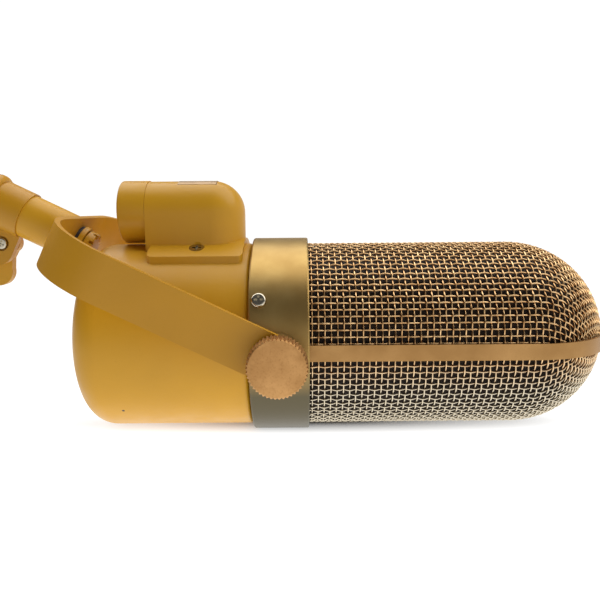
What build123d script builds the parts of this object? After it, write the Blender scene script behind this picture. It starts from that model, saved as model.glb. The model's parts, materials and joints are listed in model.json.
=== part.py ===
from build123d import *
import math
import os

# Ribbon microphone in a U-shaped yoke with a split swivel clamp and a stand adapter. Millimetres.
# Drawn with the crossing of microphone axis and tilt axis at (0, 0, 0): +X to the grille tip, +Z up.
# Stem parts are drawn along +Z in the stem's own frame and then leaned over.
STEM_LEAN = 26.0          # stem rises this many degrees above the microphone's axis
SOCKET_U = 185.0          # distance from tilt axis to the mouth of the stand socket
STEM_DROP = 1.1           # tube axis passes this far below the tilt axis

BODY_R = 37.6             # painted rear housing
BODY_WALL = 2.2
BODY_REAR_X = -80.0
BODY_FRONT_X = -11.5
BODY_CORNER_R = 11.0

COLLAR_R = 39.8
COLLAR_HALF = 11.0
COLLAR_SCREW_X = -7.3
COLLAR_SCREW_DEG = (151.7, 28.3)   # from +Y towards +Z

GRILLE_R = 37.6
GRILLE_WALL = 1.2
DOME_X = 93.4             # centre of the hemispherical end
SCREEN_R = 36.0
SCREEN_WALL = 0.3
BAND_R = 38.8
BAND_WIDTH = 6.0
BAND_TIP_GAP = 0.8

HEAD_R = 12.7             # connector casting
HEAD_Z = 50.4
HEAD_REAR_X = -53.0
HEAD_FRONT_X = -27.3
FLANGE_R = 40.0
FLANGE_HALF = 21.0
FLANGE_SCREW_X = -32.5
FLANGE_SCREW_DEG = 22.2
CUP_R = 12.6
CUP_Z = 50.8
CUP_BORE_R = 8.15
CUP_MOUTH_X = -64.0
PIN_R = 1.2
PIN_PLACES = ((-3.6, 0.0), (3.6, 0.0), (0.0, -3.6))

KNOB_R = 10.4
KNOB_TEETH = 46
KNOB_DEPTH = 0.8
KNOB_INNER = 52.35
KNOB_OUTER = 59.75
STUD_R = 3.92
PIVOT_BORE_R = 4.0

STRAP_WIDTH = 17.2
STRAP_INNER = 49.4
STRAP_OUTER = 51.4
BACK_INNER = 93.0
BACK_OUTER = 95.0
BEND_R = 29.2
KEY_HALF = 3.0            # half the square key that stops the stem turning in the strap
NUT_FACE_U = 85.7
TUBE_R = 9.1
TUBE_BORE_R = 7.3
TUBE_END_U = 126.0

SLEEVE_R = 9.75
SLEEVE_BORE_R = 9.16
SLEEVE_START_U = 115.0
SLEEVE_END_U = 126.7
EAR_HALF = 3.2
EAR_V = -17.4
PINCH_U = 119.9
PINCH_V = -14.4
KNUCKLE_U = 135.5
KNUCKLE_R = 11.1
KNUCKLE_START_U = 127.4
TONGUE_R = 6.9
TONGUE_HALF = 4.0
TILT_BOLT_R = 3.0
ADAPTER_R = 12.0
ADAPTER_START_U = 148.5
SOCKET_R = 7.45           # minor radius of the 5/8 inch stand thread
SOCKET_DEPTH = 16.0

LEAN = math.radians(STEM_LEAN)
STEM_FOOT = (-STEM_DROP * math.sin(LEAN), 0, -STEM_DROP * math.cos(LEAN))
STEM = Plane(
    origin=STEM_FOOT,
    x_dir=(math.sin(LEAN), 0, math.cos(LEAN)),
    z_dir=(-math.cos(LEAN), 0, math.sin(LEAN)),
)
ORIGIN_SHIFT = Pos(SOCKET_U * math.cos(LEAN) - STEM_FOOT[0], 0, -SOCKET_U * math.sin(LEAN) - STEM_FOOT[2])


def rod_x(r, x0, x1, y=0.0, z=0.0):
    return Location(((x0 + x1) / 2, y, z), (0, 90, 0)) * Cylinder(r, abs(x1 - x0))


def rod_y(r, y0, y1, x=0.0, z=0.0):
    return Location((x, (y0 + y1) / 2, z), (90, 0, 0)) * Cylinder(r, abs(y1 - y0))


def rod_z(r, z0, z1, x=0.0, y=0.0):
    return Pos(x, y, (z0 + z1) / 2) * Cylinder(r, abs(z1 - z0))


def block(x0, x1, y0, y1, z0, z1):
    return Pos((x0 + x1) / 2, (y0 + y1) / 2, (z0 + z1) / 2) * Box(abs(x1 - x0), abs(y1 - y0), abs(z1 - z0))


def turned(points):
    """Solid of revolution about X from a closed outline of (x, radius) points."""
    return revolve(make_face(Polyline(*points, close=True)), Axis.X)


def joined(shapes):
    """One compound holding separate solids."""
    return Compound(children=list(shapes))


def radial(x, degrees, r):
    """Frame on the microphone's side: its Z points outwards, degrees count from +Y towards +Z."""
    a = math.radians(degrees)
    out = (0, math.cos(a), math.sin(a))
    return Plane(origin=(x, r * out[1], r * out[2]), x_dir=(1, 0, 0), z_dir=out)


def cross_recess(size, width, depth):
    slot = Box(size, width, depth) + Box(width, size, depth)
    return Pos(0, 0, -depth / 2) * slot


def pan_screw(head_r, head_h, shank_r, length):
    """Pan head screw along Z: seat at z = 0, shank pointing down."""
    head = fillet(Cylinder(head_r, head_h).edges().group_by(Axis.Z)[-1], head_h * 0.45)
    head = Pos(0, 0, head_h / 2) * head
    screw = head + rod_z(shank_r, -length, 0)
    return screw - Pos(0, 0, head_h) * cross_recess(head_r * 1.15, head_r * 0.32, head_h * 0.6)


def flat_screw(head_r, head_h, shank_r, length):
    """Countersunk screw along Z: top at z = 0, shank pointing down."""
    head = Pos(0, 0, -head_h / 2) * Cone(shank_r, head_r, head_h)
    screw = head + rod_z(shank_r, -length, -head_h * 0.5)
    return screw - cross_recess(head_r * 1.15, head_r * 0.32, head_h * 0.6)


# ---------------------------------------------------------------- rear housing and collar

def domed_drum(corner_r, drum_r, rear_x, front_x, crown):
    """Solid drum along X with a slightly domed rear face and a rounded rear edge."""
    k = math.sqrt(0.5)
    flat_r = drum_r - corner_r
    x_arc = rear_x + crown + corner_r
    outline = [
        Line((front_x, 0), (rear_x, 0)),
        ThreePointArc((rear_x, 0), (rear_x + crown / 4, flat_r / 2), (rear_x + crown, flat_r)),
        ThreePointArc((rear_x + crown, flat_r), (x_arc - k * corner_r, flat_r + k * corner_r), (x_arc, drum_r)),
        Line((x_arc, drum_r), (front_x, drum_r)),
        Line((front_x, drum_r), (front_x, 0)),
    ]
    return revolve(make_face(outline), Axis.X)


def housing_shell():
    shell = domed_drum(BODY_CORNER_R, BODY_R, BODY_REAR_X, BODY_FRONT_X, 1.8)
    shell = fillet(shell.edges().group_by(Axis.X)[-1], 1.5)
    shell += rod_x(36.2, -30, -2)
    shell -= domed_drum(BODY_CORNER_R - BODY_WALL, BODY_R - BODY_WALL, BODY_REAR_X + BODY_WALL, -16.5, 1.8)
    shell -= Location((-15.25, 0, 0), (0, 90, 0)) * Cone(BODY_R - BODY_WALL, 34.3, 2.5)
    shell -= rod_x(34.3, -14.01, 0)
    shell -= rod_z(6.0, 30, 40, x=-40)
    for side in (90 - FLANGE_SCREW_DEG, 90 + FLANGE_SCREW_DEG):
        shell -= radial(FLANGE_SCREW_X, side, FLANGE_R) * rod_z(1.55, -8, 1)
    for degrees in COLLAR_SCREW_DEG:
        shell -= radial(COLLAR_SCREW_X, degrees, COLLAR_R) * rod_z(1.6, -8, 1)
    return shell


def collar_ring():
    ring = turned([
        (-COLLAR_HALF, 36.3), (-COLLAR_HALF, 39.5), (-COLLAR_HALF + 0.5, COLLAR_R),
        (COLLAR_HALF - 0.5, COLLAR_R), (COLLAR_HALF, 39.5), (COLLAR_HALF, 38.1), (-1.0, 38.1), (-1.0, 36.3),
    ])
    for degrees in COLLAR_SCREW_DEG:
        ring -= radial(COLLAR_SCREW_X, degrees, COLLAR_R) * rod_z(1.6, -6, 1)
        ring -= radial(COLLAR_SCREW_X, degrees, COLLAR_R) * rod_z(2.95, -0.3, 1)
    ring -= rod_y(5.55, -41, -35)
    ring -= rod_y(5.55, 35, 41)
    return ring


def collar_screws():
    screw = pan_screw(2.75, 1.9, 1.5, 8.0)
    return joined(radial(COLLAR_SCREW_X, d, COLLAR_R - 0.3) * screw for d in COLLAR_SCREW_DEG)


def chassis_plate():
    plate = rod_x(34.0, -10.5, 0) - rod_x(30.5, -11, -3.5)
    for y in (-12.0, 12.0):
        plate -= rod_x(5.0, -4, 1, y=y)
    plate -= rod_x(4.0, -4, 1, z=-14)
    for y, z in standoff_places():
        plate -= rod_x(1.6, -4, 1, y=y, z=z)
    for degrees in COLLAR_SCREW_DEG:
        plate -= radial(COLLAR_SCREW_X, degrees, COLLAR_R) * rod_z(1.55, -12, 0)
    return plate


# ---------------------------------------------------------------- grille

def dome_shell(r_out, r_in, x_start):
    k = math.sqrt(0.5)
    outline = [
        Line((x_start, r_in), (x_start, r_out)),
        Line((x_start, r_out), (DOME_X, r_out)),
        ThreePointArc((DOME_X, r_out), (DOME_X + k * r_out, k * r_out), (DOME_X + r_out, 0)),
        Line((DOME_X + r_out, 0), (DOME_X + r_in, 0)),
        ThreePointArc((DOME_X + r_in, 0), (DOME_X + k * r_in, k * r_in), (DOME_X, r_in)),
        Line((DOME_X, r_in), (x_start, r_in)),
    ]
    return revolve(make_face(outline), Axis.X)


def grille_half(side):
    shell = dome_shell(GRILLE_R, GRILLE_R - GRILLE_WALL, 4.1)
    keep = block(0, 140, -45, 45, 0.2 * side, 45 * side)
    return shell & keep


def basket_ring():
    return turned([(-0.9, 34.6), (-0.9, 38.0), (4.0, 38.0), (4.0, 36.35), (8.0, 36.35), (8.0, 34.6)])


def grille_band():
    inner = GRILLE_R + 0.05
    start = COLLAR_HALF + 0.05
    tip = DOME_X + GRILLE_R + BAND_TIP_GAP
    thick = BAND_R - inner
    outline = [
        Line((start, -BAND_R), (DOME_X, -BAND_R)),
        ThreePointArc((DOME_X, -BAND_R), (tip + thick, 0), (DOME_X, BAND_R)),
        Line((DOME_X, BAND_R), (start, BAND_R)),
        Line((start, BAND_R), (start, inner)),
        Line((start, inner), (DOME_X, inner)),
        ThreePointArc((DOME_X, inner), (tip, 0), (DOME_X, -inner)),
        Line((DOME_X, -inner), (start, -inner)),
        Line((start, -inner), (start, -BAND_R)),
    ]
    return extrude(make_face(outline), BAND_WIDTH / 2, both=True)


# ---------------------------------------------------------------- connector head

def connector_housing():
    head = rod_x(HEAD_R, HEAD_REAR_X, HEAD_FRONT_X, z=HEAD_Z)
    head += block(HEAD_REAR_X, HEAD_FRONT_X, -HEAD_R, HEAD_R, 30, HEAD_Z)
    head += rod_z(HEAD_R, 30, HEAD_Z, x=HEAD_FRONT_X)
    head += Pos(HEAD_FRONT_X, 0, HEAD_Z) * Sphere(HEAD_R)
    flange = block(-51.0, -14.3, -FLANGE_HALF, FLANGE_HALF, 25, 45)
    flange = fillet(flange.edges().filter_by(Axis.Z), 2.0)
    head += flange & rod_x(FLANGE_R, -51.0, -14.3)
    head -= rod_x(BODY_R + 0.05, -60, 0)
    head -= rod_x(10.65, HEAD_REAR_X - 1, -31, z=CUP_Z)
    head -= rod_z(8.0, 30, CUP_Z, x=-40)
    head -= curved_plate(HEAD_R - 0.33, HEAD_R + 1, -40.95, -25.35, 6.05)
    for side in (90 - FLANGE_SCREW_DEG, 90 + FLANGE_SCREW_DEG):
        head -= radial(FLANGE_SCREW_X, side, FLANGE_R) * rod_z(1.6, -8, 1)
        head -= radial(FLANGE_SCREW_X, side, FLANGE_R) * (Pos(0, 0, -0.7) * Cone(1.6, 3.1, 1.5))
        head -= radial(FLANGE_SCREW_X, side, FLANGE_R) * rod_z(3.1, 0, 1)
    return head


def connector_cup():
    cup = rod_x(CUP_R, CUP_MOUTH_X, HEAD_REAR_X - 0.1, z=CUP_Z)
    cup = fillet(cup.edges().group_by(Axis.X)[0], 0.8)
    cup += rod_x(10.6, HEAD_REAR_X - 0.1, -46.0, z=CUP_Z)
    return cup - rod_x(CUP_BORE_R, CUP_MOUTH_X - 1, -40, z=CUP_Z)


def xlr_insulator():
    disc = rod_x(CUP_BORE_R - 0.05, -50.0, -46.0, z=CUP_Z)
    for y, z in PIN_PLACES:
        disc -= rod_x(PIN_R + 0.04, -51, -45, y=y, z=CUP_Z + z)
    return disc


def xlr_pins():
    pins = []
    for y, z in PIN_PLACES:
        pin = rod_x(PIN_R, CUP_MOUTH_X + 2.2, -44.0, y=y, z=CUP_Z + z)
        pins.append(fillet(pin.edges().group_by(Axis.X)[0], 0.7))
    return joined(pins)


def flange_screws():
    places = (90 - FLANGE_SCREW_DEG, 90 + FLANGE_SCREW_DEG)
    return joined(radial(FLANGE_SCREW_X, d, FLANGE_R) * flat_screw(3.0, 1.5, 1.5, 5.5) for d in places)


def curved_plate(inner, outer, start, end, half):
    shell = rod_x(outer, start, end, z=HEAD_Z) - rod_x(inner, start - 1, end + 1, z=HEAD_Z)
    return shell & block(start - 1, end + 1, -half, half, HEAD_Z, HEAD_Z + 20)


def name_plate():
    return curved_plate(HEAD_R - 0.3, HEAD_R + 0.12, -40.9, -25.4, 6.0)


# ---------------------------------------------------------------- pivots and thumb knobs

def pivot_boss(side):
    boss = rod_y(8.0, side * 36, side * 48.95) - rod_x(COLLAR_R + 0.05, -15, 15)
    boss += rod_y(5.5, side * 38.2, side * 41.0)
    return boss - rod_y(PIVOT_BORE_R, side * 38, side * 50)


def pivot_washers():
    rings = []
    for side in (-1, 1):
        rings.append(rod_y(8.3, side * 48.96, side * 49.38) - rod_y(4.1, side * 48, side * 50))
    return joined(rings)


def knob_washer(side):
    return rod_y(8.9, side * 51.42, side * 52.33) - rod_y(4.1, side * 51, side * 53)


def thumb_knob(side):
    points = []
    for i in range(2 * KNOB_TEETH):
        r = KNOB_R if i % 2 == 0 else KNOB_R - KNOB_DEPTH
        a = math.pi * i / KNOB_TEETH
        points.append((r * math.cos(a), r * math.sin(a)))
    length = KNOB_OUTER - KNOB_INNER
    knob = extrude(make_face(Polyline(*points, close=True)), length)
    trim = Pos(0, 0, length / 2) * Cylinder(KNOB_R + 0.1, length)
    trim = chamfer(trim.edges().group_by(Axis.Z)[-1], 0.9)
    trim = chamfer(trim.edges().group_by(Axis.Z)[0], 0.5)
    knob = (knob & trim) - rod_z(STUD_R + 0.02, -1, length - 2.5)
    place = Plane(origin=(0, side * KNOB_INNER, 0), x_dir=(1, 0, 0), z_dir=(0, side, 0))
    return place * knob


def pivot_stud(side):
    return rod_y(STUD_R, side * 38.6, side * (KNOB_OUTER - 2.6))


# ---------------------------------------------------------------- ribbon motor

def end_block(x0, x1):
    body = block(x0, x1, -21, 21, -8, 8) - block(x0 - 1, x1 + 1, -7, 7, 0, 9)
    x = (x0 + x1) / 2
    for y in (-4.3, 4.3):
        body -= rod_z(0.85, -5.2, 1, x=x, y=y)
    for side in (-1, 1):
        for z in (-4, 4):
            body -= rod_y(1.05, side * 15, side * 22, x=x, z=z)
    return body


def base_end_block():
    body = end_block(30, 38)
    for y in (-12.0, 12.0):
        body -= rod_x(2.05, 29, 35, y=y)
    return body


def motor_rails():
    rails = []
    for side in (-1, 1):
        rail = block(30, 100, side * 21.05, side * 24, -8, 8)
        for x in (34, 96):
            for z in (-4, 4):
                rail -= rod_y(1.05, side * 20, side * 25, x=x, z=z)
        rails.append(rail)
    return joined(rails)


def rail_screws():
    screws = []
    for side in (-1, 1):
        for x in (34, 96):
            for z in (-4, 4):
                place = Plane(origin=(x, side * 24, z), x_dir=(1, 0, 0), z_dir=(0, side, 0))
                screws.append(place * pan_screw(1.9, 1.3, 1.0, 8.0))
    return joined(screws)


def pole_pieces():
    bars = []
    for side in (-1, 1):
        outline = Polyline((side * 2.9, -1.5), (side * 2.9, 1.5), (side * 8.95, 8), (side * 8.95, -8), close=True)
        section = Plane(origin=(38.05, 0, 0), x_dir=(0, 1, 0), z_dir=(1, 0, 0)) * make_face(outline)
        bars.append(extrude(section, 53.9, dir=(1, 0, 0)))
    return joined(bars)


def magnets():
    return joined(block(38.05, 91.95, side * 9.0, side * 21.0, -8, 8) for side in (-1, 1))


def ribbon():
    line = [(31.0, 0.08), (38.5, 0.08)]
    x = 39.125
    up = True
    while x < 91.5:
        line.append((x, 0.08 + (0.45 if up else -0.45)))
        up = not up
        x += 1.25
    line += [(91.5, 0.08), (99.0, 0.08)]
    top = [(x, z + 0.055) for x, z in line]
    bottom = [(x, z - 0.055) for x, z in reversed(line)]
    outline = make_face(Polyline(*top, *bottom, close=True))
    section = Plane(origin=(0, 0, 0), x_dir=(1, 0, 0), z_dir=(0, -1, 0)) * outline
    return extrude(section, 2.35, both=True)


def ribbon_clamps():
    bars = []
    for x in (34, 96):
        bar = block(x - 2.5, x + 2.5, -6.2, 6.2, 0.15, 3.0)
        for y in (-4.3, 4.3):
            bar -= rod_z(0.85, 0, 4, x=x, y=y)
        bars.append(bar)
    return joined(bars)


def clamp_screws():
    places = [(x, y) for x in (34, 96) for y in (-4.3, 4.3)]
    return joined(Pos(x, y, 3.0) * pan_screw(1.6, 1.1, 0.8, 7.5) for x, y in places)


def motor_posts():
    return joined(rod_x(3.0, -6.5, 29.95, y=y) + rod_x(2.0, 29.9, 34.5, y=y) for y in (-12.0, 12.0))


def shock_grommets():
    rings = []
    for y in (-12.0, 12.0):
        ring = rod_x(6.5, 0.05, 1.6, y=y) + rod_x(6.5, -5.0, -3.55, y=y) + rod_x(4.95, -4, 1, y=y)
        rings.append(ring - rod_x(3.05, -6, 3, y=y))
    return joined(rings)


def post_nuts():
    return joined(rod_x(5.0, -6.4, -5.05, y=y) - rod_x(3.05, -7, -4, y=y) for y in (-12.0, 12.0))


# ---------------------------------------------------------------- transformer in the rear housing

def standoff_places():
    return [(26 * math.cos(math.radians(a)), 26 * math.sin(math.radians(a))) for a in (90, 210, 330)]


def plate_standoffs():
    return joined(rod_x(3.0, -26.0, -3.55, y=y, z=z) - rod_x(1.6, -11, -3, y=y, z=z) - rod_x(1.6, -27, -19, y=y, z=z)
                  for y, z in standoff_places())


def standoff_screws():
    screws = []
    for y, z in standoff_places():
        front = Plane(origin=(0.02, y, z), x_dir=(0, 1, 0), z_dir=(1, 0, 0))
        rear = Plane(origin=(-27.5, y, z), x_dir=(0, 1, 0), z_dir=(-1, 0, 0))
        screws.append(front * pan_screw(2.75, 1.7, 1.5, 9.0))
        screws.append(rear * pan_screw(2.75, 1.7, 1.5, 7.0))
    return joined(screws)


def transformer_plate():
    plate = rod_x(30.0, -27.45, -26.05)
    for y, z in standoff_places():
        plate -= rod_x(1.6, -28, -25, y=y, z=z)
    for y in (-12.9, 12.9):
        plate -= rod_x(1.4, -28, -25, y=y, z=-5)
    return plate


def transformer_can():
    can = turned([(-62, 0), (-62, 19), (-27.5, 19), (-27.5, 18), (-61, 18), (-61, 0)])
    return can - block(-46, -38, -4.5, 4.5, 16, 20)


def transformer_core():
    core = block(-56, -32, -11, 11, -13, 13)
    for z0, z1 in ((4, 9), (-9, -4)):
        core -= block(-51, -37, -12, 12, z0, z1)
    return core


def transformer_winding():
    coil = block(-50.8, -37.2, -15, 15, -8.8, 8.8)
    coil = fillet(coil.edges().filter_by(Axis.X), 2.0)
    return coil - block(-52, -36, -11.1, 11.1, -4.1, 4.1)


def core_pads():
    return joined([block(-31.95, -27.5, -8, 8, -8, 8), block(-60.95, -56.05, -8, 8, -8, 8)])


def wire(points, r, start, end):
    path = Spline(*points, tangents=[start, end])
    return sweep(Plane(origin=path @ 0, z_dir=path % 0) * Circle(r), path=path)


def output_leads():
    leads = []
    for (y, z), y0 in zip(PIN_PLACES, (-2.5, 2.5, 0.0)):
        points = [
            (-42, y0, 13.2), (-42, y0, 20), (-40, y0, 36),
            (-38.8, (y0 + y) / 2, 43 + z / 2), (-43.9, y, CUP_Z + z),
        ]
        leads.append(wire(points, 0.6, (0, 0, 1), (-1, 0, 0)))
    return joined(leads)


def ribbon_leads():
    leads = []
    for side in (-1, 1):
        points = [(33, side * 5, -8.6), (18, side * 4, -12.5), (-2, side * 1.6, -14), (-14, side * 7, -10),
                  (-26.7, side * 12.9, -5), (-37.1, side * 13, -4)]
        leads.append(wire(points, 0.45, (-1, 0, 0), (-1, 0, 0)))
    return joined(leads)


# ---------------------------------------------------------------- yoke (Z along the stem, X across it)

def yoke_strap():
    half = STRAP_WIDTH / 2
    low, high = STEM_DROP - half, STEM_DROP + half
    outer = block(low, high, -STRAP_OUTER, STRAP_OUTER, -half, BACK_OUTER)
    outer = fillet(outer.edges().filter_by(Axis.X).group_by(Axis.Z)[-1], BEND_R)
    inner = block(low - 1, high + 1, -STRAP_INNER, STRAP_INNER, -half - 1, BACK_INNER)
    inner = fillet(inner.edges().filter_by(Axis.X).group_by(Axis.Z)[-1], BEND_R - STRAP_OUTER + STRAP_INNER)
    ends = block(low, high, -60, 60, 0, 100) + rod_y(half, -60, 60, x=STEM_DROP)
    strap = (outer - inner) & ends
    strap -= rod_y(PIVOT_BORE_R, -60, 60, x=STEM_DROP)
    strap -= block(-KEY_HALF - 0.05, KEY_HALF + 0.05, -KEY_HALF - 0.05, KEY_HALF + 0.05, 88, 100)
    return STEM * strap


def stem_tube():
    return STEM * (rod_z(TUBE_R, BACK_OUTER, TUBE_END_U) - rod_z(TUBE_BORE_R, BACK_OUTER - 1, TUBE_END_U + 1))


def stem_plug():
    """Plug in the tube's end with a square key through the strap and a round stud for the nut."""
    plug = rod_z(TUBE_BORE_R - 0.05, BACK_OUTER + 0.02, 107)
    plug += block(-KEY_HALF, KEY_HALF, -KEY_HALF, KEY_HALF, BACK_INNER, BACK_OUTER + 1)
    return STEM * (plug + rod_z(3.0, NUT_FACE_U + 1.6, BACK_INNER + 1))


def yoke_nut_washer():
    return STEM * (rod_z(6.0, BACK_INNER - 1.38, BACK_INNER - 0.02) - rod_z(3.1, 90, 94))


def yoke_nut():
    """Capped castle nut: flange against the washer, then a neck and a slotted head."""
    nut = rod_z(6.4, 89.6, BACK_INNER - 1.4)
    nut += rod_z(4.6, 88, 90)
    nut += chamfer(rod_z(5.6, NUT_FACE_U, 89.1).edges().group_by(Axis.Z)[0], 0.4)
    slot = Box(1.1, 2.6, 1.6)
    for i in range(8):
        nut -= Rot(0, 0, 45 * i + 22.5) * Pos(0, 5.2, NUT_FACE_U + 0.8) * slot
    return STEM * (nut - rod_z(3.05, NUT_FACE_U + 1.4, 95))


# ---------------------------------------------------------------- swivel clamp and stand adapter

def swivel_clamp():
    """Split sleeve for the stem tube with a pinched ear, and a slotted knuckle for the stand's tongue."""
    tip = block(-20, 20, -20, 20, KNUCKLE_START_U - 5, KNUCKLE_U) + rod_y(KNUCKLE_R, -20, 20, z=KNUCKLE_U)
    barrel = rod_z(KNUCKLE_R, KNUCKLE_START_U, KNUCKLE_U + KNUCKLE_R + 2)
    body = fillet(barrel.edges().group_by(Axis.Z)[0], 2.5) & tip
    for side in (-1, 1):
        body -= block(-15, 15, side * 9.5, side * 15, KNUCKLE_U - 6, KNUCKLE_U + 15)
    body += rod_z(SLEEVE_R - 0.5, SLEEVE_START_U + 5, KNUCKLE_U - 5)
    body += rod_z(SLEEVE_R, SLEEVE_START_U, SLEEVE_END_U)
    body += block(EAR_V, -6, -EAR_HALF, 0, SLEEVE_START_U - 0.9, SLEEVE_END_U + 0.1)
    body += rod_y(6.35, -EAR_HALF, 0, x=EAR_V, z=SLEEVE_START_U + 5.45)
    body += block(EAR_V, -6, 0, EAR_HALF, SLEEVE_START_U + 1.9, SLEEVE_END_U + 0.1)
    body += rod_y(4.95, 0, EAR_HALF, x=EAR_V, z=SLEEVE_START_U + 6.85)
    body -= rod_z(SLEEVE_BORE_R, SLEEVE_START_U - 2, TUBE_END_U + 0.4)
    body -= block(-25, 0, -0.4, 0.4, SLEEVE_START_U - 2, TUBE_END_U + 0.4)
    body -= rod_y(2.0, -20, 20, x=PINCH_V, z=PINCH_U)
    body -= rod_y(3.1, -20, -2.0, x=PINCH_V, z=PINCH_U)
    body -= rod_y(TONGUE_R + 0.5, -TONGUE_HALF - 0.35, TONGUE_HALF + 0.35, z=KNUCKLE_U)
    body -= block(-15, 15, -TONGUE_HALF - 0.35, TONGUE_HALF + 0.35, KNUCKLE_U - 4.5, 160)
    body -= rod_y(TILT_BOLT_R + 0.05, -12, 12, z=KNUCKLE_U)
    return STEM * body


def pinch_screw():
    place = Plane(origin=(PINCH_V, -2.02, PINCH_U), x_dir=(1, 0, 0), z_dir=(0, -1, 0))
    return STEM * (place * pan_screw(2.45, 1.7, 1.95, 9.1))


def lever_washer():
    return STEM * (rod_y(4.0, EAR_HALF + 0.02, EAR_HALF + 0.38, x=PINCH_V, z=PINCH_U)
                   - rod_y(2.05, 2, 8, x=PINCH_V, z=PINCH_U))


def clamp_lever():
    outline = Pos(PINCH_U, PINCH_V) * Circle(4.5) + Pos(119.8, -27.8) * Circle(6.2)
    neck = Polyline((PINCH_U - 4.0, PINCH_V), (116.3, -19.9), (114.6, -24.5), (125.0, -24.5), (123.6, -19.9),
                    (PINCH_U + 4.0, PINCH_V), close=True)
    outline += make_face(neck)
    face = Plane(origin=(0, 7.15, 0), x_dir=(0, 0, 1), z_dir=(0, -1, 0)) * mirror(outline, Plane.XZ)
    lever = extrude(face, 3.55, dir=(0, -1, 0))
    lever -= rod_y(2.02, 2, 12, x=PINCH_V, z=PINCH_U)
    return STEM * lever


def tilt_bolt():
    place = Plane(origin=(0, -9.52, KNUCKLE_U), x_dir=(1, 0, 0), z_dir=(0, -1, 0))
    return STEM * (place * pan_screw(4.8, 3.0, TILT_BOLT_R, 26.0))


def tilt_knob():
    knob = rod_y(6.8, 11.5, 20.4, z=KNUCKLE_U)
    knob = fillet(knob.edges().group_by(Axis.Y)[-1], 1.0)
    for i in range(8):
        a = math.radians(45 * i + 22.5)
        knob -= rod_y(1.6, 9, 21, x=7.6 * math.cos(a), z=KNUCKLE_U + 7.6 * math.sin(a))
    return STEM * (knob - rod_y(TILT_BOLT_R + 0.06, 9, 17.8, z=KNUCKLE_U))


def tilt_washer():
    return STEM * (rod_y(4.9, 9.52, 11.3, z=KNUCKLE_U) - rod_y(TILT_BOLT_R + 0.05, 9, 12, z=KNUCKLE_U))


def stand_adapter():
    body = rod_z(ADAPTER_R, ADAPTER_START_U, SOCKET_U)
    body = chamfer(body.edges().group_by(Axis.Z)[-1], 0.8)
    body = fillet(body.edges().group_by(Axis.Z)[0], 2.5)
    body += rod_y(TONGUE_R, -TONGUE_HALF, TONGUE_HALF, z=KNUCKLE_U)
    body += block(-6.0, 6.0, -TONGUE_HALF, TONGUE_HALF, KNUCKLE_U, ADAPTER_START_U + 3)
    body -= rod_y(TILT_BOLT_R + 0.06, -12, 12, z=KNUCKLE_U)
    body -= rod_z(9.5, SOCKET_U - SOCKET_DEPTH - 0.5, SOCKET_U + 1)
    return STEM * body


def thread_insert():
    floor_u = SOCKET_U - SOCKET_DEPTH
    return STEM * (rod_z(9.45, floor_u, SOCKET_U) - rod_z(SOCKET_R, floor_u - 1, SOCKET_U + 1))


PARTS = {
    "housing_shell": housing_shell(),
    "collar_ring": collar_ring(),
    "collar_screws": collar_screws(),
    "chassis_plate": chassis_plate(),
    "basket_ring": basket_ring(),
    "upper_grille_half": grille_half(1),
    "lower_grille_half": grille_half(-1),
    "inner_screen": dome_shell(SCREEN_R, SCREEN_R - SCREEN_WALL, 8.1),
    "grille_band": grille_band(),
    "connector_housing": connector_housing(),
    "connector_cup": connector_cup(),
    "xlr_insulator": xlr_insulator(),
    "xlr_pins": xlr_pins(),
    "output_leads": output_leads(),
    "flange_screws": flange_screws(),
    "name_plate": name_plate(),
    "near_pivot_boss": pivot_boss(-1),
    "far_pivot_boss": pivot_boss(1),
    "pivot_washers": pivot_washers(),
    "near_thumb_knob": thumb_knob(-1),
    "far_thumb_knob": thumb_knob(1),
    "near_pivot_stud": pivot_stud(-1),
    "far_pivot_stud": pivot_stud(1),
    "near_knob_washer": knob_washer(-1),
    "far_knob_washer": knob_washer(1),
    "base_end_block": base_end_block(),
    "tip_end_block": end_block(92, 100),
    "motor_rails": motor_rails(),
    "rail_screws": rail_screws(),
    "pole_pieces": pole_pieces(),
    "magnets": magnets(),
    "ribbon": ribbon(),
    "ribbon_clamps": ribbon_clamps(),
    "clamp_screws": clamp_screws(),
    "motor_posts": motor_posts(),
    "shock_grommets": shock_grommets(),
    "post_nuts": post_nuts(),
    "ribbon_leads": ribbon_leads(),
    "plate_standoffs": plate_standoffs(),
    "standoff_screws": standoff_screws(),
    "transformer_plate": transformer_plate(),
    "transformer_can": transformer_can(),
    "transformer_core": transformer_core(),
    "transformer_winding": transformer_winding(),
    "core_pads": core_pads(),
    "yoke_strap": yoke_strap(),
    "stem_tube": stem_tube(),
    "stem_plug": stem_plug(),
    "yoke_nut_washer": yoke_nut_washer(),
    "yoke_nut": yoke_nut(),
    "swivel_clamp": swivel_clamp(),
    "pinch_screw": pinch_screw(),
    "lever_washer": lever_washer(),
    "clamp_lever": clamp_lever(),
    "tilt_bolt": tilt_bolt(),
    "tilt_washer": tilt_washer(),
    "tilt_knob": tilt_knob(),
    "stand_adapter": stand_adapter(),
    "thread_insert": thread_insert(),
}

os.makedirs("parts", exist_ok=True)
for node, shape in PARTS.items():
    export_step(ORIGIN_SHIFT * shape, "parts/" + node + ".step")
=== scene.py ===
import json
import math

import bpy
from mathutils import Matrix, Vector


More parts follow.
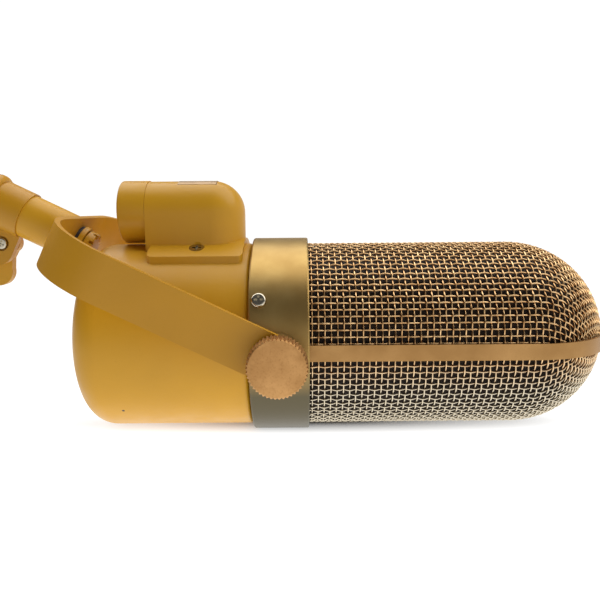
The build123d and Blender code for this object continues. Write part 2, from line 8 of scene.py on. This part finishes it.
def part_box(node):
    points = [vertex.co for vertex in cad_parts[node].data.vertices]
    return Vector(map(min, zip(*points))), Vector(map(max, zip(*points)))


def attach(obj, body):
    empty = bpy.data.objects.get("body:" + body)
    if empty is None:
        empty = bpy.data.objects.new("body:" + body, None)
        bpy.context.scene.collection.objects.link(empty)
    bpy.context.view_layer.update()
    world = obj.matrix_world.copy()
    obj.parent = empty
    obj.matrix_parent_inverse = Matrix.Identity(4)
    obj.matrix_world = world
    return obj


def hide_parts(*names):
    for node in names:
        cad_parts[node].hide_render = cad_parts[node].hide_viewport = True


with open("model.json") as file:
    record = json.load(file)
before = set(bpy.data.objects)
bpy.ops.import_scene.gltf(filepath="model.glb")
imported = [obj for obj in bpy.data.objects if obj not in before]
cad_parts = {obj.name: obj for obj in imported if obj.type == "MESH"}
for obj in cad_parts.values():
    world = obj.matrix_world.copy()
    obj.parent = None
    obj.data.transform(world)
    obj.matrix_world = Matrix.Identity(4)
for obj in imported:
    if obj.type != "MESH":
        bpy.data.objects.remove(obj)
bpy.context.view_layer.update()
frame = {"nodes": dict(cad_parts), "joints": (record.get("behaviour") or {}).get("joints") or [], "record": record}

MM = 0.001
PIVOT = Vector(next(j for j in frame["joints"] if j["name"] == "mic_tilt")["pos_m"])

# Camera, measured from the microphone's tilt axis
CAMERA_OFFSET = Vector((7.7, -244.99, 51.59)) * MM
CAMERA_PITCH = 8.8        # degrees below the horizon
CAMERA_ROLL = -0.45
LENS = 35.28              # mm, on a sensor 36 mm wide

# Woven grille
WIRE_R = 0.31 * MM
WEAVE_R = 37.0 * MM       # radius of the weave's middle surface
WEAVE_LIFT = 0.29 * MM    # how far a wire rises over the one it crosses
RING_PITCH = 2.3257 * MM  # between rings, along the microphone
LENGTH_STEP = math.radians(3.877)   # between lengthwise wires, round the microphone
RINGS = 35                # from collar to the start of the dome
STEPS = 4                 # points per crossing along a wire
WIRE_SIDES = 6
BAND_COVER = 1.4 * MM     # wires end this far above the band's middle
SCREEN_R = 36.0 * MM      # radius of the screen's dome, which shares the weave's centre

# Paint chips, as (place from the tilt axis in mm, radius in mm): housing's lower rear, stem tube
CHIPS = [((-60.3, -28.7, -24.3), 0.5), ((-101.4, -8.6, 52.9), 0.3)]
# Nodes given a darker copy of the mustard paint: the yoke strap and the swivel clamp.
DARKER_PAINT_NODES = ("yoke_strap", "swivel_clamp")

# Painted reflection: below the tilt axis the metal's colour changes, standing in for the floor and its shade
# reflected in the underside
PAINTED_REFLECTION_BELOW = -17 * MM
PAINTED_REFLECTION_ABOVE = -2 * MM

# Floor: painted light. It glows, brightest in a painted pool of light round the object, and the glow fades out in
# a thin ellipse where the object rests, leaving a painted contact shadow that the floor's real shading deepens
FLOOR_SIZE = 8
FLOOR_SHIFT = 18 * MM     # middle of the shadow, from the tilt axis along the microphone
PAINTED_SHADOW_HALF_LENGTH = 0.16
PAINTED_SHADOW_HALF_WIDTH = 0.018
# Painted pool of light: the floor's glow falls from the first strength to the second between the two distances
# from the centre.
PAINTED_POOL_CENTRE = (0.03, -0.02, 0)
PAINTED_POOL_REACH = (0.1, 0.24)
PAINTED_POOL_GLOW = (1.5, 1.14)

# One wide soft box, above and behind
BOX_PLACE = (0.05, 0.17, 0.75)
BOX_SIZE = (3.0, 0.8)
BOX_WATTS = 18.5


# ---------------------------------------------------------------- materials

def srgb(r, g, b):
    """Linear colour from 0-255 display values."""
    return tuple(linear(c / 255) for c in (r, g, b)) + (1.0,)


def linear(c):
    return ((c + 0.055) / 1.055) ** 2.4 if c > 0.04 else c / 12.92


def scaled(colour, factor):
    return tuple(c * factor for c in colour[:3]) + (1.0,)


class Nodes:
    """A material's node tree with one Principled shader."""

    def __init__(self, name):
        self.mat = bpy.data.materials.new(name)
        self.mat.use_nodes = True
        self.tree = self.mat.node_tree
        self.shader = self.tree.nodes["Principled BSDF"]
        self.where = self.add("ShaderNodeTexCoord").outputs["Object"]

    def add(self, kind, **values):
        node = self.tree.nodes.new(kind)
        for key, value in values.items():
            setattr(node, key, value)
        return node

    def link(self, out, into):
        self.tree.links.new(out, into)

    def set(self, **values):
        for key, value in values.items():
            self.shader.inputs[key.replace("_", " ")].default_value = value

    def noise(self, scale, detail=2.0, roughness=0.5, where=None):
        node = self.add("ShaderNodeTexNoise")
        self.link(where or self.where, node.inputs["Vector"])
        node.inputs["Scale"].default_value = scale
        node.inputs["Detail"].default_value = detail
        node.inputs["Roughness"].default_value = roughness
        return node.outputs["Fac"]

    def stretched(self, x, y, z):
        node = self.add("ShaderNodeMapping")
        self.link(self.where, node.inputs["Vector"])
        node.inputs["Scale"].default_value = (x, y, z)
        return node.outputs["Vector"]

    def spread(self, value, low, high, to_low, to_high):
        node = self.add("ShaderNodeMapRange")
        self.link(value, node.inputs["Value"])
        for key, number in (("From Min", low), ("From Max", high), ("To Min", to_low), ("To Max", to_high)):
            node.inputs[key].default_value = number
        return node.outputs["Result"]

    def mix(self, factor, a, b):
        node = self.add("ShaderNodeMix", data_type="RGBA")
        self.link(factor, node.inputs["Factor"])
        for key, colour in (("A", a), ("B", b)):
            socket = next(s for s in node.inputs if s.name == key and s.type == "RGBA")
            if isinstance(colour, tuple):
                socket.default_value = colour
            else:
                self.link(colour, socket)
        return next(s for s in node.outputs if s.type == "RGBA")

    def bump(self, height, distance, strength=1.0, after=None):
        node = self.add("ShaderNodeBump")
        self.link(height, node.inputs["Height"])
        node.inputs["Distance"].default_value = distance
        node.inputs["Strength"].default_value = strength
        if after is not None:
            self.link(after, node.inputs["Normal"])
        return node.outputs["Normal"]

    def near(self, point, radius, edge):
        """1 inside a ragged spot round a point, 0 outside it."""
        gap = self.add("ShaderNodeVectorMath", operation="DISTANCE")
        self.link(self.where, gap.inputs[0])
        gap.inputs[1].default_value = point
        rough = self.add("ShaderNodeMath", operation="MULTIPLY_ADD")
        self.link(self.noise(1400, 3.0), rough.inputs[0])
        rough.inputs[1].default_value = edge
        self.link(gap.outputs["Value"], rough.inputs[2])
        rim = radius + edge * 0.5
        return self.spread(rough.outputs["Value"], rim, rim + radius * 0.15, 1.0, 0.0)


def paint(name, base, chips=()):
    """Satin mustard powder coat with a faint orange peel and a few small chips."""
    m = Nodes(name)
    cloud = m.spread(m.noise(28, 3.0), 0.35, 0.65, 0.0, 1.0)
    colour = m.mix(cloud, scaled(base, 0.96), scaled(base, 1.05))
    specks = m.spread(m.noise(2600, 2.0), 0.62, 0.78, 0.0, 0.5)
    colour = m.mix(specks, colour, scaled(base, 0.8))
    for place, radius in chips:
        spot = m.near(PIVOT + Vector(place) * MM, radius * MM, radius * MM)
        colour = m.mix(spot, colour, srgb(28, 24, 20))
    m.link(colour, m.shader.inputs["Base Color"])
    m.link(m.spread(m.noise(140, 3.0), 0.3, 0.7, 0.34, 0.46), m.shader.inputs["Roughness"])
    peel = m.bump(m.noise(620, 2.0, 0.4), 0.06 * MM, 0.6)
    m.link(m.bump(m.noise(2400, 1.0), 0.01 * MM, 0.5, peel), m.shader.inputs["Normal"])
    m.set(Specular_IOR_Level=0.3, Coat_Weight=0.05, Coat_Roughness=0.25)
    return m.mat


def metal(name, colour, dull, rough=(0.25, 0.35), grain=1800, grain_mm=0.01,
          along=None, cloud=60, painted_reflection=None):
    """Metal with a fine grain. along stretches the grain into brush lines; the last argument is a painted
    reflection: the colour the metal takes on its underside, standing in for the reflected floor and its shade."""
    m = Nodes(name)
    where = m.stretched(*along) if along else None
    fine = m.noise(grain, 3.0, 0.6, where)
    tint = m.mix(m.spread(m.noise(cloud, 3.0), 0.35, 0.65, 0.0, 1.0), colour, dull)
    tint = m.mix(m.spread(fine, 0.55, 0.8, 0.0, 0.45), tint, dull)
    # Painted reflection: below the tilt axis the colour fades into the underside colour, standing in for reflected
    # floor and shade.
    if painted_reflection:
        split = m.add("ShaderNodeSeparateXYZ")
        m.link(m.where, split.inputs[0])
        low = m.spread(split.outputs["Z"], PIVOT.z + PAINTED_REFLECTION_BELOW, PIVOT.z + PAINTED_REFLECTION_ABOVE, 1.0, 0.0)
        tint = m.mix(low, tint, painted_reflection)
    m.link(tint, m.shader.inputs["Base Color"])
    m.link(m.spread(fine, 0.3, 0.7, rough[0], rough[1]), m.shader.inputs["Roughness"])
    m.link(m.bump(fine, grain_mm * MM, 0.6), m.shader.inputs["Normal"])
    m.set(Metallic=1.0)
    return m.mat


def plastic(name, colour, worn, rough=(0.4, 0.55), grain=900, grain_mm=0.01, coat=0.0):
    """Moulded plastic, rubber, tape or insulation with a light texture."""
    m = Nodes(name)
    wear = m.spread(m.noise(120, 3.0), 0.35, 0.65, 0.0, 1.0)
    m.link(m.mix(wear, colour, worn), m.shader.inputs["Base Color"])
    fine = m.noise(grain, 2.0)
    m.link(m.spread(fine, 0.3, 0.7, rough[0], rough[1]), m.shader.inputs["Roughness"])
    m.link(m.bump(fine, grain_mm * MM, 0.5), m.shader.inputs["Normal"])
    m.set(Coat_Weight=coat)
    return m.mat


def gauze(name):
    """Darkened fine wire cloth: a close grid along and across the microphone."""
    m = Nodes(name)
    split = m.add("ShaderNodeSeparateXYZ")
    m.link(m.where, split.inputs[0])
    threads = []
    for axis in ("X", "Y", "Z"):
        wave = m.add("ShaderNodeMath", operation="SINE")
        turn = m.add("ShaderNodeMath", operation="MULTIPLY")
        m.link(split.outputs[axis], turn.inputs[0])
        turn.inputs[1].default_value = 2 * math.pi / (0.7 * MM)
        m.link(turn.outputs[0], wave.inputs[0])
        threads.append(wave.outputs[0])
    top = m.add("ShaderNodeMath", operation="MAXIMUM")
    m.link(threads[0], top.inputs[0])
    m.link(threads[1], top.inputs[1])
    weave = m.add("ShaderNodeMath", operation="MAXIMUM")
    m.link(top.outputs[0], weave.inputs[0])
    m.link(threads[2], weave.inputs[1])
    grid = m.spread(weave.outputs[0], 0.55, 0.98, 0.0, 1.0)
    m.link(m.mix(grid, srgb(15, 8, 3), srgb(48, 31, 16)), m.shader.inputs["Base Color"])
    m.link(m.bump(weave.outputs[0], 0.05 * MM, 0.8), m.shader.inputs["Normal"])
    m.link(m.spread(m.noise(400, 2.0), 0.3, 0.7, 0.45, 0.65), m.shader.inputs["Roughness"])
    m.set(Specular_IOR_Level=0.2)
    return m.mat


PAINT = paint("mustard_paint", srgb(200, 147, 28), CHIPS)
# A darker copy of the mustard paint, for the yoke strap and the swivel clamp.
DARKER_PAINT_COPY = paint("mustard_paint_darker_copy", srgb(186, 133, 24))
# Painted reflection: the collar's darker grey-green underside stands in for the shaded floor reflected in it.
BRONZE = metal("collar_bronze", srgb(180, 150, 92), srgb(160, 129, 75), (0.36, 0.45), 2600, 0.012,
               painted_reflection=srgb(94, 87, 68))
KNOB = metal("knob_bronze", srgb(196, 150, 96), srgb(158, 114, 66), (0.4, 0.58), 1500, 0.05)
# Painted reflection: the wires' paler, silvery underside stands in for the floor reflected in them.
WIRE = metal("wire_bronze", srgb(234, 196, 144), srgb(188, 146, 98), (0.16, 0.3), 900, 0.004, cloud=220,
             painted_reflection=srgb(204, 192, 168))
BAND = metal("band_bronze", srgb(174, 134, 84), srgb(152, 114, 68), (0.3, 0.4), 2200, 0.006)
GAUZE = gauze("gauze")
NICKEL = metal("nickel_steel", srgb(206, 198, 178), srgb(180, 170, 148), (0.16, 0.26), 1200, 0.004)
STEEL = metal("steel", srgb(186, 186, 188), srgb(160, 160, 164), (0.28, 0.4), 900, 0.006, (1, 12, 12))
ALUMINIUM = metal("aluminium", srgb(214, 214, 216), srgb(190, 190, 194), (0.3, 0.42), 700, 0.006,
                  (14, 1, 1))
BRASS = metal("brass", srgb(222, 190, 116), srgb(196, 160, 88), (0.22, 0.34), 800, 0.005, (14, 1, 1))
IRON = metal("iron", srgb(140, 138, 136), srgb(112, 108, 104), (0.4, 0.55), 500, 0.012, (1, 1, 10))
MAGNET = metal("magnet", srgb(110, 110, 114), srgb(84, 84, 88), (0.45, 0.6), 700, 0.02)
FOIL = metal("ribbon_foil", srgb(236, 236, 238), srgb(214, 214, 218), (0.14, 0.24), 1600, 0.003)
PLATE = metal("plate_print", srgb(178, 150, 116), srgb(156, 130, 98), (0.4, 0.52), 1500, 0.006, (1, 20, 1))
GILT = metal("gold_pins", srgb(240, 200, 110), srgb(214, 172, 84), (0.14, 0.22), 900, 0.003)
RUBBER = plastic("rubber", srgb(34, 33, 32), srgb(48, 46, 44), (0.6, 0.75), 700, 0.02)
BLACK = plastic("black_plastic", srgb(30, 30, 32), srgb(42, 42, 44), (0.38, 0.5), 1100, 0.012)
NYLON = plastic("nylon", srgb(196, 186, 164), srgb(180, 168, 144), (0.4, 0.55), 800, 0.008)
LEAD = plastic("wire_insulation", srgb(150, 34, 28), srgb(128, 26, 24), (0.25, 0.35), 600, 0.005, 0.3)
TAPE = plastic("coil_tape", srgb(196, 168, 70), srgb(178, 148, 56), (0.3, 0.45), 400, 0.01, 0.2)

FINISH = {
    "mustard_paint": PAINT, "collar_bronze": BRONZE, "knob_bronze": KNOB, "wire_bronze": WIRE,
    "band_bronze": BAND, "gauze": GAUZE, "nickel_steel": NICKEL, "steel": STEEL, "aluminium": ALUMINIUM,
    "brass": BRASS, "iron": IRON, "magnet": MAGNET, "ribbon_foil": FOIL, "plate_print": PLATE,
    "gold_pins": GILT, "rubber": RUBBER, "black_plastic": BLACK, "nylon": NYLON, "wire_insulation": LEAD,
    "coil_tape": TAPE,
}

for part in frame["record"]["subparts"]:
    node = frame["nodes"][part["node"]]
    node.data.materials.clear()
    finish = DARKER_PAINT_COPY if part["node"] in DARKER_PAINT_NODES else FINISH[part["material_slot"]]
    node.data.materials.append(finish)


# ---------------------------------------------------------------- woven grille

def octant():
    """Crossings of the wires on an eighth of the dome, as unit vectors: rows run round the microphone,
    columns along it. Wire cloth keeps its pitch both ways as it is pressed into a dome, so each crossing
    lies one pitch from its two neighbours."""
    a, b = LENGTH_STEP, RING_PITCH / WEAVE_R
    rows = int(math.pi / 2 / a) + 1
    cols = int(math.pi / 2 / b) + 2
    net = {(i, 0): Vector((0, math.sin(i * a), math.cos(i * a))) for i in range(rows)}
    net.update({(0, j): Vector((math.sin(j * b), 0, math.cos(j * b))) for j in range(cols)})
    for j in range(1, cols):
        for i in range(1, rows):
            p, q, back = net.get((i - 1, j)), net.get((i, j - 1)), net.get((i - 1, j - 1))
            if p is None or q is None or back is None or max(p.z, q.z) < -0.05:
                continue
            c = min(p.dot(q), 0.9999999)
            x = (math.cos(a) - c * math.cos(b)) / (1 - c * c)
            y = (math.cos(b) - c * math.cos(a)) / (1 - c * c)
            rest = 1 - (x * x + y * y + 2 * x * y * c)
            if rest <= 0:
                continue
            lift = p.cross(q) * math.sqrt(rest / (1 - c * c))
            net[(i, j)] = max((x * p + y * q + lift, x * p + y * q - lift), key=lambda n: (n - back).length)
    return net


def mirrored(v, side_y, side_z):
    return Vector((v.x, v.y * side_y, v.z * side_z))


def crossing(net, i, j):
    """Place and outward direction of crossing (i, j) on the upper half. j counts from the start of the
    dome."""
    side = -1 if i < 0 else 1
    if j <= 0:
        angle = i * LENGTH_STEP
        out = Vector((0, math.sin(angle), math.cos(angle)))
        return out * WEAVE_R + Vector((j * RING_PITCH, 0, 0)), out
    out = net.get((abs(i), j))
    if out is None:
        return None
    out = mirrored(out, side, 1)
    return out * WEAVE_R, out


def wire_line(crossings, parity):
    """Points and outward directions along one wire through its crossings, rising over every other one.
    Each crossing is (place, out). The wire ends where it comes down to the band."""
    points, outs = [], []
    places = [c[0] for c in crossings]
    for k in range(len(places) - 1):
        before = places[max(k - 1, 0)]
        after = places[min(k + 2, len(places) - 1)]
        for s in range(STEPS):
            t = s / STEPS
            p = catmull(before, places[k], places[k + 1], after, t)
            out = crossings[k][1].lerp(crossings[k + 1][1], t).normalized()
            rise = WEAVE_LIFT * math.cos(math.pi * (k + t)) * parity
            points.append(p + out * rise)
            outs.append(out)
    last, out = crossings[-1]
    points.append(last + out * WEAVE_LIFT * math.cos(math.pi * (len(places) - 1)) * parity)
    outs.append(out)
    return points, outs


def catmull(a, b, c, d, t):
    """Point at t between b and c on a smooth curve through a, b, c and d."""
    square = 2 * a - 5 * b + 4 * c - d
    cube = 3 * b - a - 3 * c + d
    return 0.5 * ((2 * b) + (c - a) * t + square * t * t + cube * t ** 3)


def cut_at_band(points, outs):
    """Keeps the wire's stretch above the band and ends it on the cover line."""
    keep = [k for k, p in enumerate(points) if p.z > BAND_COVER]
    if len(keep) < 2:
        return [], []
    first, last = keep[0], keep[-1]
    pts, dirs = points[first:last + 1], outs[first:last + 1]
    if first > 0:
        pts.insert(0, meet(points[first - 1], points[first]))
        dirs.insert(0, outs[first])
    if last < len(points) - 1:
        pts.append(meet(points[last + 1], points[last]))
        dirs.append(outs[last])
    return pts, dirs


def meet(below, above):
    t = (BAND_COVER - below.z) / max(above.z - below.z, 1e-9)
    return below.lerp(above, min(max(t, 0.0), 1.0))


def tubes(name, lines, side_z, centre):
    """One mesh holding a closed six-sided tube along each line."""
    verts, faces = [], []
    for points, outs in lines:
        n = len(points)
        start = len(verts)
        for k in range(n):
            along = (points[min(k + 1, n - 1)] - points[max(k - 1, 0)]).normalized()
            across = along.cross(outs[k]).normalized()
            up = across.cross(along)
            for s in range(WIRE_SIDES):
                turn = 2 * math.pi * s / WIRE_SIDES
                p = points[k] + (across * math.cos(turn) + up * math.sin(turn)) * WIRE_R
                verts.append(centre + mirrored(p, 1, side_z))
        for k in range(n - 1):
            for s in range(WIRE_SIDES):
                a, b = start + k * WIRE_SIDES + s, start + k * WIRE_SIDES + (s + 1) % WIRE_SIDES
                face = (a, b, b + WIRE_SIDES, a + WIRE_SIDES)
                faces.append(face if side_z > 0 else face[::-1])
        head = tuple(start + s for s in range(WIRE_SIDES))
        tail = tuple(start + (n - 1) * WIRE_SIDES + s for s in range(WIRE_SIDES))
        faces.append(head[::-1] if side_z > 0 else head)
        faces.append(tail if side_z > 0 else tail[::-1])
    mesh = bpy.data.meshes.new(name)
    mesh.from_pydata([tuple(v) for v in verts], [], faces)
    mesh.polygons.foreach_set("use_smooth", [len(f) == 4 for f in faces])
    mesh.materials.append(WIRE)
    mesh.update()
    piece = bpy.data.objects.new(name, mesh)
    bpy.context.collection.objects.link(piece)
    return piece


def woven_half(label, side_z):
    net = octant()
    last_row = max(i for i, j in net)
    last_col = max(j for i, j in net)
    lengthwise, rings = [], []
    for i in range(-last_row, last_row + 1):
        cells = [crossing(net, i, j) for j in range(-RINGS - 1, last_col + 1)]
        cells = cells[:cells.index(None)] if None in cells else cells
        line = cut_at_band(*wire_line(cells, (-1) ** (i + RINGS + 1)))
        if line[0]:
            lengthwise.append(line)
    for j in range(-RINGS, last_col + 1):
        reach = 0
        while reach < last_row and crossing(net, reach + 1, j) is not None:
            reach += 1
        cells = [crossing(net, i, j) for i in range(-reach, reach + 1)]
        if cells[0] is None or len(cells) < 2:
            continue
        line = cut_at_band(*wire_line(cells, -((-1) ** (j + reach))))
        if line[0]:
            rings.append(line)
    centre = PIVOT + Vector((DOME_START, 0, 0))
    for kind, lines in (("lengthwise", lengthwise), ("ring", rings)):
        piece = tubes(label + "_grille_" + kind + "_wires", lines, side_z, centre)
        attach(piece, "microphone")
        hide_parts(label + "_grille_half")


DOME_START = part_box("inner_screen")[1][0] - PIVOT.x - SCREEN_R
woven_half("upper", 1)
woven_half("lower", -1)


# ---------------------------------------------------------------- stage, light and camera

def floor_material():
    """White floor with painted light: it glows, also lighting the object from below, except in a thin ellipse
    along the line where the object rests, where the glow fades out into a painted contact shadow deepened by real
    shading.
    """
    m = Nodes("floor_white_painted_glow")
    colour = m.mix(m.noise(3, 2.0), (0.9, 0.9, 0.9, 1), (0.92, 0.92, 0.92, 1))
    m.link(colour, m.shader.inputs["Base Color"])
    m.set(Roughness=0.7, Specular_IOR_Level=0.1)
    # Painted light: the floor's glow, strongest in a painted pool round the object.
    glow = m.add("ShaderNodeEmission")
    pool = m.add("ShaderNodeVectorMath", operation="DISTANCE")
    m.link(m.where, pool.inputs[0])
    pool.inputs[1].default_value = PAINTED_POOL_CENTRE
    m.link(m.spread(pool.outputs["Value"], *PAINTED_POOL_REACH, *PAINTED_POOL_GLOW), glow.inputs["Strength"])
    # Painted shadow: the glow fades out within a thin ellipse along the contact line, leaving the floor's real
    # shading.
    contact = m.add("ShaderNodeVectorMath", operation="LENGTH")
    m.link(m.stretched(1 / PAINTED_SHADOW_HALF_LENGTH, 1 / PAINTED_SHADOW_HALF_WIDTH, 1), contact.inputs[0])
    blend = m.add("ShaderNodeMixShader")
    m.link(m.spread(contact.outputs["Value"], 0.1, 1.0, 0.0, 0.9), blend.inputs[0])
    m.link(m.shader.outputs[0], blend.inputs[1])
    m.link(glow.outputs[0], blend.inputs[2])
    m.link(blend.outputs[0], m.tree.nodes["Material Output"].inputs["Surface"])
    return m.mat


def place_floor():
    floor_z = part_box("collar_ring")[0][2]
    bpy.ops.mesh.primitive_plane_add(size=FLOOR_SIZE, location=(PIVOT.x + FLOOR_SHIFT, PIVOT.y, floor_z))
    floor = bpy.context.object
    floor.name = "floor"
    floor.data.materials.append(floor_material())


def soft_box(name, place, size, watts):
    lamp = bpy.data.lights.new(name, "AREA")
    lamp.shape = "RECTANGLE"
    lamp.size, lamp.size_y = size
    lamp.energy = watts
    holder = bpy.data.objects.new(name, lamp)
    holder.location = PIVOT + Vector(place)
    holder.rotation_euler = (PIVOT - holder.location).to_track_quat("-Z", "Y").to_euler()
    bpy.context.collection.objects.link(holder)


def studio_world():
    """White to the eye. As light it is bright near the horizon and dark above, and dark on the left."""
    world = bpy.data.worlds.new("studio")
    bpy.context.scene.world = world
    world.use_nodes = True
    tree = world.node_tree
    tree.nodes.clear()
    where = tree.nodes.new("ShaderNodeTexCoord")
    split = tree.nodes.new("ShaderNodeSeparateXYZ")
    tree.links.new(where.outputs["Generated"], split.inputs[0])
    height = tree.nodes.new("ShaderNodeValToRGB")
    for stop, (place, grey) in zip(height.color_ramp.elements, ((0.05, 0.9), (0.55, 0.1))):
        stop.position = place
        stop.color = (grey, grey, grey, 1)
    tree.links.new(split.outputs["Z"], height.inputs[0])
    side = tree.nodes.new("ShaderNodeMapRange")
    tree.links.new(split.outputs["X"], side.inputs["Value"])
    for key, number in (("From Min", -0.7), ("From Max", 0.1), ("To Min", 0.1), ("To Max", 1.0)):
        side.inputs[key].default_value = number
    lit = tree.nodes.new("ShaderNodeBackground")
    tree.links.new(height.outputs["Color"], lit.inputs["Color"])
    tree.links.new(side.outputs["Result"], lit.inputs["Strength"])
    shown = tree.nodes.new("ShaderNodeBackground")
    shown.inputs["Color"].default_value = (1, 1, 1, 1)
    shown.inputs["Strength"].default_value = 1.05
    ray = tree.nodes.new("ShaderNodeLightPath")
    pick = tree.nodes.new("ShaderNodeMixShader")
    tree.links.new(ray.outputs["Is Camera Ray"], pick.inputs[0])
    tree.links.new(lit.outputs[0], pick.inputs[1])
    tree.links.new(shown.outputs[0], pick.inputs[2])
    out = tree.nodes.new("ShaderNodeOutputWorld")
    tree.links.new(pick.outputs[0], out.inputs["Surface"])


def place_camera():
    data = bpy.data.cameras.new("camera")
    data.lens = LENS
    data.sensor_width = 36.0
    data.clip_start = 0.01
    camera = bpy.data.objects.new("camera", data)
    camera.location = PIVOT + CAMERA_OFFSET
    tilt = Matrix.Rotation(math.radians(90 - CAMERA_PITCH), 4, "X")
    roll = Matrix.Rotation(math.radians(CAMERA_ROLL), 4, "Z")
    camera.rotation_euler = (tilt @ roll).to_euler()
    bpy.context.collection.objects.link(camera)
    bpy.context.scene.camera = camera


place_floor()
soft_box("top_light", BOX_PLACE, BOX_SIZE, BOX_WATTS)
studio_world()
bpy.context.scene.view_settings.view_transform = "Standard"
place_camera()
